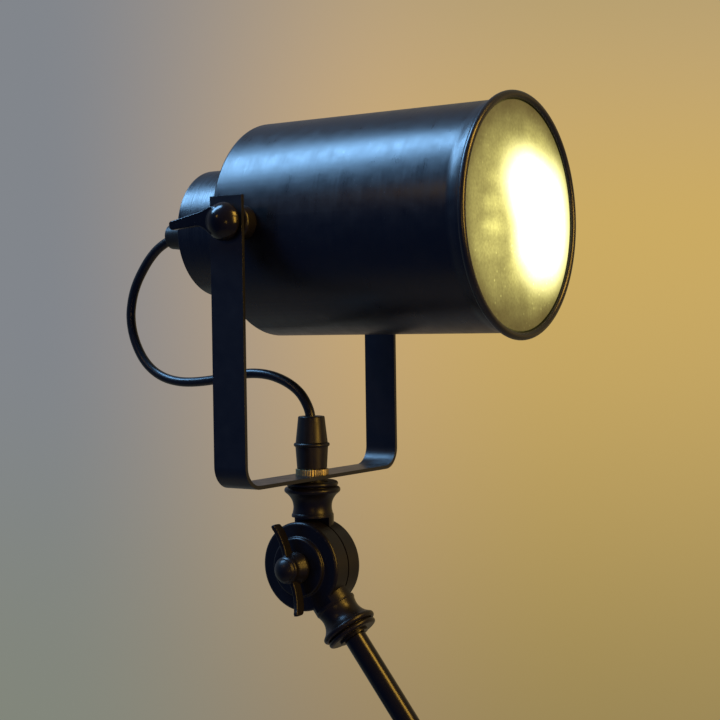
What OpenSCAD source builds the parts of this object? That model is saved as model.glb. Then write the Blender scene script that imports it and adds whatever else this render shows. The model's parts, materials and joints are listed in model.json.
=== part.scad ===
// Swing arm wall light: wall canopy, two arms on three disc swivels, strap yoke and spotlight shade.
// Millimetres, +Z up. The wall is the plane y = 0, the lamp reaches out along -Y,
// and the origin is the middle of the wall bracket on the wall.

/* [Wall bracket] */
// Length of the bracket bar
bracket_l = 96; // [92:1:100]
// Width of the bracket bar
bracket_w = 22; // [18:1:28]
// Thickness of the bracket bar
bracket_t = 2; // [1.5:0.1:3]
// Distance between the two wall screw slots
slot_spacing = 80; // [76:1:82]
// Width of a wall screw slot
slot_w = 5.2; // [4.2:0.1:6.2]
// Length of a wall screw slot
slot_l = 10; // [8:0.5:12]
// Width of the terminal block
terminal_w = 24; // [18:1:30]
// Depth of the terminal block off the bracket
terminal_h = 11; // [8:0.5:12]
// Height of the terminal block across the bracket
terminal_d = 12; // [9:0.5:16]

/* [Canopy] */
// Radius of the canopy
canopy_r = 55; // [53:0.5:70]
// Depth of the canopy off the wall
canopy_h = 26; // [24:0.5:40]
// Wall of the canopy
canopy_wall = 1.2; // [0.8:0.1:2]
// Radius of the canopy's rounded edge
canopy_edge_r = 12; // [8:0.5:14]
// Distance between the two canopy studs
stud_spacing = 60; // [54:1:64]
// Radius of a canopy stud
stud_r = 2; // [1.5:0.25:2.5]
// Radius of a canopy cap nut
cap_nut_r = 5; // [4:0.25:6]
// Height of a canopy cap nut
cap_nut_h = 9; // [7:0.5:12]

/* [Disc swivels] */
// Radius of a swivel disc
swivel_r = 24; // [22:0.5:27]
// Thickness of one disc half
half_t = 11; // [9:0.1:13]
// Edge radius of a disc half
half_edge_r = 1.8; // [0.5:0.1:2.5]
// Thickness of the friction washer between the halves
washer_t = 0.8; // [0.5:0.1:1.2]
// Width of the friction face at the rim
rim_w = 6.5; // [5:0.25:8]
// Thickness of a disc half's outer face
face_t = 3.2; // [2.5:0.1:4]
// Radius of the raised boss on the outer face
boss_r = 16; // [13:0.5:18]
// Height of the raised boss
boss_h = 2.2; // [1:0.1:3]
// Radius of the hub round the bolt inside a half
hub_r = 8; // [6:0.25:9]
// Radius of the swivel bolt
bolt_r = 3; // [2:0.25:4]
// Radius of the bolt's round head
bolt_head_r = 7; // [5.5:0.25:9]
// Height of the bolt's round head
bolt_head_h = 3.5; // [2.5:0.25:5]

/* [Turned necks] */
// Distance from the swivel centre to the end of a neck
neck_len = 46.3; // [45:0.1:55]
// Distance from the swivel's middle plane to the axis of a neck
neck_side = 1.6; // [1:0.1:2.5]
// Gap between a neck's base and the other half's rim
neck_clear = 1.8; // [1:0.1:2.5]
// Radius of a neck's base
neck_base_r = 11.4; // [10.5:0.1:12]
// Radius of a neck's waist
neck_waist_r = 10.4; // [9:0.1:10.5]
// Distance from a neck's base to its waist
neck_waist_at = 5.2; // [4.5:0.1:6.5]
// Radius of the hollow flare
neck_flare_r = 9.5; // [8:0.25:12]
// Radius of the large bead at the collar
collar_r = 15.2; // [14:0.1:17]
// Radius of the small bead at the collar
ring_r = 14; // [13:0.1:15]
// Radius of the end ring
end_ring_r = 8.2; // [7.5:0.1:10]
// Radius of the pipe thread
thread_r = 5; // [4:0.25:5.5]

/* [Wing nuts] */
// Distance from wing tip to wing tip
wing_span = 49.6; // [44:0.2:56]
// Height of a wing nut
wing_h = 14.5; // [13:0.25:18]
// Height of a wing's tip
wing_tip_h = 11.5; // [9.5:0.25:14]
// Thickness of a wing
wing_t = 2.4; // [1.8:0.1:3.5]
// Radius of the hub
wing_hub_r = 7.2; // [6:0.1:9]

/* [Arms] */
// Lower arm, from swivel centre to swivel centre
lower_len = 300; // [200:5:400]
// Upper arm, from swivel centre to swivel centre
upper_len = 300; // [260:5:400]
// Outer radius of the arm tube
tube_r = 6; // [5.75:0.25:8]
// Inner radius of the arm tube
tube_bore_r = 3.8; // [2.5:0.1:3.9]
// Length of the threaded spigot at each tube end
spigot_l = 14; // [8:0.5:16]
// Angle between the two arms
arm_fold = 52; // [50:1:120]

/* [Yoke] */
// Distance from the tilt pivot down to the underside of the yoke
yoke_drop = 134.6; // [130:0.2:150]
// Width of the yoke strap
strap_w = 20; // [18:0.5:26]
// Thickness of the yoke strap
strap_t = 2; // [1.5:0.1:3]
// Outside radius of the strap's bends
bend_r = 12; // [6:0.5:20]
// Height of a leg above the tilt pivot
leg_top = 13; // [11:0.5:18]

/* [Cord grips] */
// Height of the knurled ring nut
ring_nut_h = 3; // [2:0.25:6]
// Radius of the knurled ring nut
ring_nut_r = 8.9; // [8:0.1:10]
// Height of the grip's base
grip_base_h = 14.2; // [12:0.1:18]
// Radius at the foot of the grip's base
grip_foot_r = 8.1; // [7.5:0.1:9]
// Radius at the top of the grip's base
grip_mid_r = 8.9; // [8:0.1:10]
// Radius of the bead round the grip
grip_bead_r = 9.75; // [9:0.05:11]
// Height of the grip's cap
grip_cap_h = 14.3; // [12:0.1:18]
// Radius at the tip of the grip's cap
grip_tip_r = 7.2; // [6.5:0.1:8]
// Radius of the cord
cord_r = 2.7; // [2:0.1:3]

/* [Shade] */
// Radius of the shade tube
shade_r = 57.5; // [55:0.5:62]
// Wall of the shade
shade_wall = 1.2; // [0.8:0.1:1.6]
// Distance from the tilt pivot back to the rear wall
shade_back = 21; // [19:0.5:26]
// Distance from the tilt pivot forward to the middle of the rolled rim
shade_front = 127.5; // [115:0.5:150]
// Corner radius at the rear wall
shade_corner_r = 2; // [1.5:0.1:4]
// Radius of the rolled rim's bead
rim_bead_r = 2; // [1.5:0.05:2.5]
// How far the shade flares out to the rim
flare_step = 1.1; // [0.8:0.1:2.5]
// Length of the flare behind the rim
flare_l = 6; // [4:0.5:10]

/* [Front glass] */
// Thickness of the glass
glass_t = 3; // [2:0.25:4]
// Thickness of the glass seal
seal_t = 2; // [1:0.25:2.5]
// Width of the glass seal
seal_w = 3; // [2:0.25:5]

/* [Rear cap] */
// Radius of the rear cap
cap_r = 35; // [33:0.1:40]
// Length of the rear cap's straight side behind the shade
cap_l = 41.3; // [38:0.1:48]
// Height of the rear cap's crown
cap_crown = 2.5; // [2:0.25:6]
// Wall of the rear cap
cap_wall = 1.2; // [0.8:0.1:1.6]
// Width of the flange inside the shade
cap_flange = 7.5; // [6.5:0.25:10]
// Number of screws in the flange
cap_screws_n = 3; // [3:1:6]
// Radius of a flange screw
cap_screw_r = 1.5; // [1:0.25:1.75]

/* [Lamp holder and bulb] */
// Outer radius of the lamp holder
holder_r = 20.5; // [19:0.25:24]
// Length of the lamp holder
holder_l = 52; // [48:0.5:54]
// Inner radius of the holder's threaded shell
holder_thread_r = 13.5; // [13.4:0.1:14]
// Radius of the bulb
bulb_r = 30; // [24:0.5:31]
// Length of the bulb's glass in front of its screw cap
bulb_l = 80; // [70:1:90]

/* [Tilt pivots] */
// Radius of the pivot stud
pin_r = 3; // [2:0.25:3.5]
// Length of the spacer between shade and leg
spacer_l = 11.5; // [8:0.25:16]
// Radius of the spacer
spacer_r = 9; // [7:0.1:10]
// Radius of the lever's domed hub
lever_hub_r = 9.75; // [8:0.25:11]
// Height of the lever's domed hub
lever_hub_h = 8.5; // [7:0.25:11]
// Distance from the pivot to the lever's tip
lever_l = 30.5; // [26:0.5:45]
// Width of the lever at its tip
lever_w = 4.6; // [3.5:0.1:6]
// Thickness of the lever
lever_t = 4; // [3:0.1:5]
// How far the levers point down to the rear
lever_droop = 11; // [0:1:45]

/* [Hidden] */
$fn = 96;

satin_black = "#17181b";
moulded_black = "#0e0f10";
plated = "#b9b7ad";
brass = "#b99a52";
porcelain = "#e9e6df";
frosted = "#e8e2c0";
fibre = "#5a3a2a";

// Clearances: parts of one body that are screwed together, running fits, faces that slide, and the
// gap under a wing nut or lever
fit = 0.05;
run = 0.08;
slide = 0.2;
nut_gap = 0.3;
past = 1;

// Disc swivels: the two halves lie either side of the middle plane, each with its neck on its own side
seam = washer_t + slide;
disc_half = seam / 2 + half_t;
chamber_r = swivel_r - rim_w;
neck_base = swivel_r + neck_clear;
nut_seat = disc_half + boss_h + nut_gap;
boss_edge_r = boss_h * 0.6;
boss_fillet = boss_h - boss_edge_r;

// Groove above a neck's base, and the beads of a neck, counted back from its end
neck_groove_at = 2.2;
neck_groove_r = 0.6;
bead_r = 1.7;
small_bead_r = 1.4;
end_ring_l = 1.3;
small_bead_at = neck_len - end_ring_l - small_bead_r - 0.1;
bead_at = small_bead_at - small_bead_r - bead_r - 0.2;
flare_end = bead_at - bead_r + 0.2;

// Swivel centres and the tilt pivot in the rest pose
base_c = [0, -(canopy_h + neck_len), neck_side];
elbow_c = base_c + [-neck_side, -lower_len, neck_side];
head_c = elbow_c + upper_len * [0, cos(arm_fold), sin(arm_fold)];
pivot_c = head_c + [neck_side, 0, neck_len + slide + yoke_drop];
wing_turn = 107;

// Yoke and pivots, as distances from the lamp's middle plane
leg_in = shade_r + fit + spacer_l + slide;
leg_out = leg_in + strap_t;
lever_washer_t = 1;
lever_washer_r = 8;
lever_seat = leg_out + lever_washer_t + nut_gap;
weld_nut_r = 5.8;
weld_nut_t = 5;
weld_nut_out = sqrt(pow(shade_r - shade_wall, 2) - pow(weld_nut_r, 2)) - fit;
stud_from = weld_nut_out - weld_nut_t - 2;
stud_to = lever_seat + lever_hub_h - 3;

// Cord grips: heights above the face that the ring nut sits on
grip_split = ring_nut_h + grip_base_h;
grip_tip = grip_split + grip_cap_h;
grip_thread_l = 8;
cord_seat = 9;
mouth_r = cord_r + 2;

// Shade and rear cap, along the shade's axis from the tilt pivot
rear_face = -shade_back;
rim_r = shade_r + flare_step + rim_bead_r + 0.6;
flare_to = shade_front - 4;
flare_from = flare_to - flare_l;
mouth_in = shade_r - shade_wall + flare_step;
glass_front = shade_front - 0.1;
glass_r = min(mouth_in, rim_r - 2 * rim_bead_r) - 0.25;
cap_end = rear_face - cap_l;
crown_r = (pow(cap_r, 2) + pow(cap_crown, 2)) / (2 * cap_crown);
crown_c = cap_end - cap_crown + crown_r;
cap_seat = cap_end - cap_crown + 0.5;
holder_nut_t = 4;
holder_back = cap_seat + cap_wall + holder_nut_t;
holder_front = holder_back + holder_l;
bulb_base_l = 27;
bulb_base = holder_front - 34;
bulb_cap_r = holder_thread_r - 1.4;
bulb_cap_wall = 0.8;
bulb_wall = 1;

// Cord route in the plane of the lamp, [forward, up] from the tilt pivot: it rises out of the
// yoke's grip, runs back under the shade and loops up into the grip on the rear cap
cord_path = concat(
    [[0, -yoke_drop + strap_t + grip_tip - cord_seat]],
    [
        [-0.6, -101.2], [-1.8, -97.2], [-4, -92.9], [-7.5, -88.6], [-12.6, -84.8], [-18.8, -81.8],
        [-25.8, -79.6], [-33, -78.5], [-41.5, -78.3], [-51.5, -79.4], [-61.5, -81.2], [-71.5, -82.6],
        [-81.5, -83.4], [-92, -83.3], [-103, -81.2], [-113, -76.3], [-121, -68.3], [-126.7, -57],
        [-128.7, -45], [-126.8, -33.8], [-123.3, -25.6], [-118.3, -18.1], [-112.8, -11.6], [-105.6, -5.8],
        [-96.2, -1.6]
    ],
    [[cap_seat - grip_tip + cord_seat, 0]]
);
cord_sides = 10;

// Helpers

// Quadratic curve through p and r, drawn towards q
function curve(p, q, r, n) =
    [for (i = [0:n]) let (t = i / n) pow(1 - t, 2) * p + 2 * t * (1 - t) * q + pow(t, 2) * r];

function unit(v) = v / norm(v);

// Direction of a route at point i, from its neighbours; its two ends run square to their seats
function heading(p, i) =
    i == 0 ? [0, 1] : i == len(p) - 1 ? [1, 0] : unit(p[i + 1] - p[i - 1]);

// Solid of revolution along +X, from an outline of [radius, distance]
module turned_x() rotate([0, 90, 0]) rotate_extrude() children();

// Solid of revolution along -X, from an outline of [radius, distance]
module turned_back() rotate([0, -90, 0]) rotate_extrude() children();

// Head and elbow swivels: local X points along a neck, local Z along the swivel axis
module at_swivel(c, a) translate(c) rotate([-90, 0, -90]) rotate([0, 0, -a]) children();

// Base swivel: local X points along a neck, local Z up
module at_base(a) translate(base_c) rotate([0, 0, a]) children();

// Head: local X forward along the shade, local Z up, origin at the tilt pivot
module at_head() translate(pivot_c) rotate([0, 0, -90]) children();

// Rounded-bottom outline from -w to w, d deep, with corners r, up to the height top
module trough(w, d, r, top) {
    translate([-w, r - d]) square([2 * w, d - r + top]);
    translate([r - w, -d]) square([2 * (w - r), r]);
    for (s = [-1, 1]) translate([s * (w - r), r - d]) circle(r);
}

// Swivel pieces

// Outline of a disc half with its rounded rim and the raised, rounded boss on its face
module half_outline() {
    translate([0, seam / 2]) square([swivel_r, half_t - half_edge_r]);
    translate([0, seam / 2]) square([swivel_r - half_edge_r, half_t]);
    translate([swivel_r - half_edge_r, disc_half - half_edge_r]) circle(half_edge_r);
    difference() {
        translate([0, disc_half - fit]) square([boss_r + boss_fillet, boss_fillet + fit]);
        translate([boss_r + boss_fillet, disc_half + boss_fillet]) circle(boss_fillet);
    }
    translate([0, disc_half]) square([boss_r, boss_h - boss_edge_r]);
    translate([0, disc_half]) square([boss_r - boss_edge_r, boss_h]);
    translate([boss_r - boss_edge_r, disc_half + boss_h - boss_edge_r]) circle(boss_edge_r);
}

// Outline of a turned neck: base, waist, hollow flare, two beads and the end ring
module neck_outline() {
    difference() {
        union() {
            translate([0, neck_base]) square([neck_base_r, neck_waist_at]);
            translate([0, neck_base + neck_waist_at])
                square([collar_r - 1, flare_end - neck_base - neck_waist_at]);
        }
        translate([neck_waist_r + neck_flare_r, neck_base + neck_waist_at]) circle(neck_flare_r);
        translate([neck_base_r, neck_base + neck_groove_at]) circle(neck_groove_r, $fn = 24);
    }
    translate([0, flare_end]) square([ring_r - small_bead_r, neck_len - end_ring_l - flare_end]);
    translate([collar_r - bead_r, bead_at]) circle(bead_r);
    translate([ring_r - small_bead_r, small_bead_at]) circle(small_bead_r);
    translate([0, bead_at - bead_r]) square([collar_r - bead_r, 2 * bead_r]);
    translate([0, neck_len - end_ring_l - past]) square([end_ring_r, end_ring_l + past]);
}

// One disc half with its neck, on the +Z side: a cup with a hub for the bolt and a way for the wire
module swivel_half() {
    wire_r = 3.2;
    wire_z = disc_half / 2;
    color(satin_black)
    difference() {
        union() {
            rotate_extrude() half_outline();
            translate([0, 0, neck_side]) turned_x() neck_outline();
            intersection() {
                translate([0, 0, neck_side]) rotate([0, 90, 0])
                    cylinder(r = neck_base_r, h = neck_base + past);
                translate([chamber_r, -neck_base_r, seam / 2])
                    cube([neck_base + past - chamber_r, 2 * neck_base_r, half_t]);
            }
        }
        translate([0, 0, -past]) cylinder(r = bolt_r + run, h = disc_half + boss_h + 2 * past);
        difference() {
            translate([0, 0, -past]) cylinder(r = chamber_r, h = past + disc_half - face_t);
            translate([0, 0, -2 * past]) cylinder(r = hub_r, h = disc_half + past);
        }
        translate([neck_base + 2 * past, 0, neck_side]) rotate([0, 90, 0])
            cylinder(r = thread_r + fit, h = neck_len);
        translate([chamber_r - past, 0, wire_z]) rotate([0, 90, 0])
            cylinder(r = wire_r, h = neck_base + 4 * past - chamber_r);
    }
}

// The half that carries the wing nut, on the -Z side
module swivel_half_near() mirror([0, 0, 1]) swivel_half();

// Fibre ring on the near half's friction face
module friction_washer() {
    color(fibre)
    translate([0, 0, -seam / 2]) difference() {
        cylinder(r = swivel_r - 1, h = washer_t);
        translate([0, 0, -past]) cylinder(r = chamber_r + 0.5, h = washer_t + 2 * past);
    }
}

// Round-headed bolt through both halves into the wing nut
module swivel_bolt() {
    reach = nut_seat + wing_h - 5;
    dome_r = (pow(bolt_head_r, 2) + pow(bolt_head_h, 2)) / (2 * bolt_head_h);
    color(plated) {
        translate([0, 0, -reach]) cylinder(r = bolt_r, h = reach + disc_half + boss_h + fit);
        translate([0, 0, disc_half + boss_h]) rotate_extrude() intersection() {
            square([bolt_head_r, bolt_head_h]);
            translate([0, bolt_head_h - dome_r]) circle(dome_r);
        }
    }
}

// Domed hub with two wings that lean out from the swivel, on the -Z side
module wing_nut() {
    tip = wing_span / 2;
    flange_h = 1.6;
    flange_r = wing_hub_r + 1.4;
    neck_r = wing_hub_r - 0.8;
    wing_outline = concat(
        curve([neck_r - 1.5, 8.6], [14.5, 6.2], [tip - 1.4, wing_tip_h], 8),
        curve([tip - 0.5, wing_tip_h - 0.2], [tip, wing_tip_h - 0.8], [tip, wing_tip_h - 2.5], 4),
        curve([tip - 0.1, wing_tip_h - 5.2], [tip - 2.6, 2.2], [11, 1.7], 8),
        [[neck_r - 1.5, 1.7]]
    );
    color(satin_black)
    mirror([0, 0, 1]) translate([0, 0, nut_seat]) difference() {
        union() {
            rotate_extrude() {
                square([flange_r, flange_h]);
                polygon([[0, 0], [flange_r, flange_h], [neck_r, 6.5], [neck_r, 9], [0, 9]]);
                translate([wing_hub_r - 1.2, 9.5]) circle(1.2);
                translate([0, 8.3]) square([wing_hub_r - 1.2, 2.4]);
                intersection() {
                    translate([0, 9]) square([wing_hub_r - 1.2, wing_h - 9]);
                    translate([0, wing_h - 8]) circle(8);
                }
            }
            for (a = [0, 180])
                rotate([90, 0, a]) translate([0, 0, -wing_t / 2]) linear_extrude(wing_t)
                    polygon(wing_outline);
        }
        translate([0, 0, -past]) cylinder(r = bolt_r + run, h = past + wing_h - 4);
    }
}

// Arm tube along local X between two necks, with a threaded spigot at each end
module arm_tube(length) {
    visible = length - 2 * neck_len;
    color(satin_black)
    rotate([0, 90, 0]) difference() {
        union() {
            translate([0, 0, neck_len]) cylinder(r = tube_r, h = visible);
            translate([0, 0, neck_len - spigot_l]) cylinder(r = thread_r, h = visible + 2 * spigot_l);
        }
        cylinder(r = tube_bore_r, h = length);
    }
}

// Threaded pipe of the given length along +Z
module nipple(length) {
    color(plated) difference() {
        cylinder(r = thread_r, h = length);
        translate([0, 0, -past]) cylinder(r = thread_r - 1.5, h = length + 2 * past);
    }
}

// Cord grip pieces, along +Z from the face they sit on

// Ring nut with a straight knurl
module ring_nut() {
    teeth = 40;
    knurl = 0.3;
    color(plated) difference() {
        linear_extrude(ring_nut_h)
            polygon([for (i = [0:2 * teeth - 1])
                (ring_nut_r - knurl * (i % 2)) * [cos(180 * i / teeth), sin(180 * i / teeth)]]);
        translate([0, 0, -past]) cylinder(r = thread_r + run, h = ring_nut_h + 2 * past);
    }
}

// Tapered base with the bead at its top edge
module grip_base() {
    bead = 1.1;
    bead_z = grip_split - bead;
    color(moulded_black) difference() {
        rotate_extrude() {
            polygon([[0, ring_nut_h], [grip_foot_r - 0.5, ring_nut_h], [grip_foot_r, ring_nut_h + 0.5],
                [grip_mid_r, bead_z], [grip_mid_r, grip_split], [0, grip_split]]);
            translate([grip_bead_r - bead, bead_z]) circle(bead);
        }
        translate([0, 0, ring_nut_h - past])
            cylinder(r = thread_r + run, h = grip_thread_l + past + slide);
        translate([0, 0, ring_nut_h]) cylinder(r = cord_r + fit, h = grip_base_h + past);
    }
}

// Tapered cap with a trumpet mouth that the cord bends out of
module grip_cap() {
    lip = 0.7;
    color(moulded_black) difference() {
        rotate_extrude() {
            polygon([[0, grip_split], [grip_mid_r - 0.2, grip_split], [grip_tip_r, grip_tip - lip],
                [grip_tip_r - lip, grip_tip], [0, grip_tip]]);
            translate([grip_tip_r - lip, grip_tip - lip]) circle(lip);
        }
        translate([0, 0, grip_tip - cord_seat])
            cylinder(r1 = cord_r + fit, r2 = mouth_r, h = cord_seat + fit);
    }
}

// Wall base

module wall_bracket() {
    color(plated)
    rotate([90, 0, 0]) difference() {
        translate([-bracket_l / 2, -bracket_w / 2, 0]) cube([bracket_l, bracket_w, bracket_t]);
        for (s = [-1, 1]) {
            translate([s * slot_spacing / 2, 0, -past]) linear_extrude(bracket_t + 2 * past) {
                square([slot_l - slot_w, slot_w], center = true);
                for (e = [-1, 1]) translate([e * (slot_l - slot_w) / 2, 0]) circle(slot_w / 2);
            }
            translate([s * stud_spacing / 2, 0, -past])
                cylinder(r = stud_r + fit, h = bracket_t + 2 * past);
        }
    }
}

// Three-way terminal block on the bracket
module terminal_block() {
    wire_r = 1.6;
    screw_r = 1.9;
    pitch = terminal_w / 3;
    color(porcelain)
    rotate([90, 0, 0]) translate([0, 0, bracket_t]) difference() {
        translate([-terminal_w / 2, -terminal_d / 2, 0]) cube([terminal_w, terminal_d, terminal_h]);
        for (i = [-1:1]) {
            translate([i * pitch, 0, terminal_h / 3]) rotate([90, 0, 0])
                cylinder(r = wire_r, h = 2 * terminal_d, center = true);
            translate([i * pitch, 0, terminal_h / 3]) cylinder(r = screw_r, h = terminal_h);
        }
    }
}

module canopy() {
    flat_r = canopy_r - canopy_edge_r;
    color(satin_black)
    rotate([90, 0, 0]) difference() {
        rotate_extrude() difference() {
            union() {
                square([flat_r, canopy_h]);
                square([canopy_r, canopy_h - canopy_edge_r]);
                translate([flat_r, canopy_h - canopy_edge_r]) circle(canopy_edge_r);
            }
            translate([0, -past]) square([flat_r, canopy_h - canopy_wall + past]);
            translate([0, -past]) square([canopy_r - canopy_wall, canopy_h - canopy_edge_r + past]);
            translate([flat_r, canopy_h - canopy_edge_r]) circle(canopy_edge_r - canopy_wall);
        }
        cylinder(r = thread_r + fit, h = canopy_h + past);
        for (s = [-1, 1]) translate([s * stud_spacing / 2, 0, 0])
            cylinder(r = stud_r + fit, h = canopy_h + past);
    }
}

module canopy_studs() {
    color(plated)
    for (s = [-1, 1]) translate([s * stud_spacing / 2, 0, 0]) rotate([90, 0, 0])
        cylinder(r = stud_r, h = canopy_h + cap_nut_h / 2);
}

// Round cap nuts with a collar, on the canopy's face
module canopy_cap_nuts() {
    collar_h = 2.5;
    dome_r = cap_nut_r - 0.6;
    color(satin_black)
    for (s = [-1, 1]) translate([s * stud_spacing / 2, -canopy_h, 0]) rotate([90, 0, 0]) difference() {
        rotate_extrude() {
            square([cap_nut_r, collar_h]);
            square([dome_r, cap_nut_h - dome_r]);
            intersection() {
                translate([0, cap_nut_h - dome_r]) circle(dome_r);
                square([dome_r, cap_nut_h]);
            }
        }
        translate([0, 0, -past]) cylinder(r = stud_r + fit, h = past + cap_nut_h / 2 + fit);
    }
}

module base_nipple() {
    inside = 7;
    translate([0, -(canopy_h - canopy_wall - inside), 0]) rotate([90, 0, 0])
        nipple(inside + canopy_wall + spigot_l);
}

module base_lock_nut() {
    nut_r = 8.5;
    nut_t = 5;
    color(plated)
    translate([0, -(canopy_h - canopy_wall), 0]) rotate([-90, 0, 0]) difference() {
        cylinder(r = nut_r, h = nut_t, $fn = 6);
        translate([0, 0, -past]) cylinder(r = thread_r + fit, h = nut_t + 2 * past);
    }
}

// Base swivel: the axis is upright and the wing nut is underneath
module base_joint_fixed() at_base(90) swivel_half_near();
module base_joint_moving() at_base(-90) swivel_half();
module base_washer() at_base(0) friction_washer();
module base_bolt() at_base(0) swivel_bolt();
module base_wing_nut() at_base(-90) wing_nut();

// Lower arm and elbow
module lower_tube() translate(base_c + [0, 0, neck_side]) rotate([0, 0, -90]) arm_tube(lower_len);
module elbow_joint_lower() at_swivel(elbow_c, 180) swivel_half();
module elbow_joint_upper() at_swivel(elbow_c, 180 - arm_fold) swivel_half_near();
module elbow_washer() at_swivel(elbow_c, 0) friction_washer();
module elbow_bolt() at_swivel(elbow_c, 0) swivel_bolt();
module elbow_wing_nut() at_swivel(elbow_c, wing_turn) wing_nut();

// Upper arm and head swivel
module upper_tube()
    at_swivel(elbow_c, 180 - arm_fold) translate([0, 0, -neck_side]) arm_tube(upper_len);
module head_joint_lower() at_swivel(head_c, -arm_fold) swivel_half_near();
module head_joint_upper() at_swivel(head_c, 90) swivel_half();
module head_washer() at_swivel(head_c, 0) friction_washer();
module head_bolt() at_swivel(head_c, 0) swivel_bolt();
module head_wing_nut() at_swivel(head_c, wing_turn) wing_nut();

// Yoke

module head_nipple() {
    below = spigot_l;
    translate(head_c + [neck_side, 0, neck_len - below])
        nipple(below + slide + strap_t + ring_nut_h + grip_thread_l);
}

// Flat strap bent to a U, square cut at the top of its legs
module yoke() {
    color(satin_black)
    at_head() difference() {
        translate([-strap_w / 2, 0, 0]) rotate([90, 0, 90]) linear_extrude(strap_w) difference() {
            trough(leg_out, yoke_drop, bend_r, leg_top);
            trough(leg_in, yoke_drop - strap_t, bend_r - strap_t, leg_top + past);
        }
        rotate([90, 0, 0]) cylinder(r = pin_r + run, h = 3 * leg_out, center = true);
        translate([0, 0, -yoke_drop - past]) cylinder(r = thread_r + run, h = strap_t + 2 * past);
    }
}

// The grip that stands on the yoke
module on_yoke() at_head() translate([0, 0, strap_t - yoke_drop]) children();
module yoke_ring_nut() on_yoke() ring_nut();
module yoke_grip_base() on_yoke() grip_base();
module yoke_grip_cap() on_yoke() grip_cap();

// Round cord swept along its route
module head_cord() {
    n = len(cord_path);
    points = [for (i = [0:n - 1]) let (h = heading(cord_path, i)) for (k = [0:cord_sides - 1])
        let (a = 360 * k / cord_sides)
        [cord_path[i][0] - cord_r * cos(a) * h[1], cord_r * sin(a), cord_path[i][1] + cord_r * cos(a) * h[0]]];
    sides = [for (i = [0:n - 2]) for (k = [0:cord_sides - 1]) let (m = (k + 1) % cord_sides)
        each [[i * cord_sides + k, i * cord_sides + m, (i + 1) * cord_sides + m],
            [i * cord_sides + k, (i + 1) * cord_sides + m, (i + 1) * cord_sides + k]]];
    ends = [[for (k = [cord_sides - 1:-1:0]) k], [for (k = [0:cord_sides - 1]) (n - 1) * cord_sides + k]];
    color(moulded_black) at_head() polyhedron(points, concat(sides, ends));
}

// Shade

// The grip at the back of the rear cap
module on_cap() at_head() translate([cap_seat, 0, 0]) rotate([0, -90, 0]) children();
module shade_ring_nut() on_cap() ring_nut();
module shade_grip_base() on_cap() grip_base();
module shade_grip_cap() on_cap() grip_cap();

module shade_nipple() {
    inside = cap_wall + holder_nut_t + 6;
    on_cap() translate([0, 0, -inside]) nipple(inside + ring_nut_h + grip_thread_l);
}

module holder_nut() {
    nut_r = 8.5;
    color(plated) on_cap() translate([0, 0, -cap_wall - holder_nut_t]) difference() {
        cylinder(r = nut_r, h = holder_nut_t, $fn = 6);
        translate([0, 0, -past]) cylinder(r = thread_r + fit, h = holder_nut_t + 2 * past);
    }
}

// Places of the flange screws round the shade's axis
module at_cap_screws()
    for (i = [0:cap_screws_n - 1]) rotate([90 + 360 * i / cap_screws_n, 0, 0])
        translate([0, cap_r + cap_flange / 2, 0]) children();

// Turned cup with a crowned back, held inside the shade by its flange
module rear_cap() {
    flange_in = rear_face + shade_wall;
    color(satin_black)
    at_head() difference() {
        turned_x() {
            difference() {
                intersection() {
                    translate([0, cap_seat]) square([cap_r, flange_in + cap_wall - cap_seat]);
                    translate([0, crown_c]) circle(crown_r);
                }
                intersection() {
                    translate([0, cap_seat + cap_wall]) square([cap_r - cap_wall, 2 * cap_l]);
                    translate([0, crown_c]) circle(crown_r - cap_wall);
                }
            }
            translate([cap_r - cap_wall, flange_in]) square([cap_wall + cap_flange, cap_wall]);
        }
        translate([cap_seat - past, 0, 0]) rotate([0, 90, 0])
            cylinder(r = thread_r + fit, h = cap_crown + cap_wall + past);
        at_cap_screws() rotate([0, 90, 0])
            cylinder(r = cap_screw_r + fit, h = 4 * shade_back, center = true);
    }
}

// Pan-head screws through the rear wall and the cap's flange, each with its nut
module cap_screws() {
    head_r = cap_screw_r * 1.9;
    head_h = cap_screw_r * 1.2;
    nut_t = cap_screw_r * 1.6;
    grip_l = shade_wall + cap_wall;
    color(plated)
    at_head() translate([rear_face, 0, 0]) at_cap_screws() {
        rotate([0, 90, 0]) cylinder(r = cap_screw_r, h = grip_l + nut_t);
        rotate([0, -90, 0]) cylinder(r1 = head_r, r2 = head_r * 0.7, h = head_h);
        translate([grip_l, 0, 0]) rotate([0, 90, 0]) cylinder(r = head_r, h = nut_t, $fn = 6);
    }
}

// Outline of the shade grown inwards by a wall: tube, rounded rear corner and flared mouth
module shade_outline(wall, past_mouth) {
    corner = shade_corner_r - wall / 2;
    back = rear_face + wall;
    r = shade_r - wall;
    translate([0, back]) square([r - corner, corner]);
    translate([r - corner, back + corner]) circle(corner);
    translate([0, back + corner]) square([r, flare_from - back - corner]);
    polygon([[0, flare_from], [r, flare_from], [r + flare_step, flare_to],
        [r + flare_step, shade_front + past_mouth], [0, shade_front + past_mouth]]);
}

// Spun tube with a flat rear wall, a flared mouth and a rolled rim
module shade_shell() {
    color(satin_black)
    at_head() difference() {
        turned_x() {
            difference() {
                shade_outline(0, 0);
                shade_outline(shade_wall, 2 * past);
                translate([0, rear_face - past]) square([cap_r + fit, shade_wall + 2 * past]);
            }
            translate([rim_r - rim_bead_r, shade_front]) circle(rim_bead_r);
        }
        rotate([90, 0, 0]) cylinder(r = pin_r + run, h = 3 * shade_r, center = true);
        at_cap_screws() rotate([0, 90, 0])
            cylinder(r = cap_screw_r + fit, h = 4 * shade_back, center = true);
    }
}

module glass() {
    edge = 0.4;
    back = glass_front - glass_t;
    color(frosted)
    at_head() turned_x() polygon([[0, back], [glass_r - edge, back], [glass_r, back + edge],
        [glass_r, glass_front - edge], [glass_r - edge, glass_front], [0, glass_front]]);
}

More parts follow.
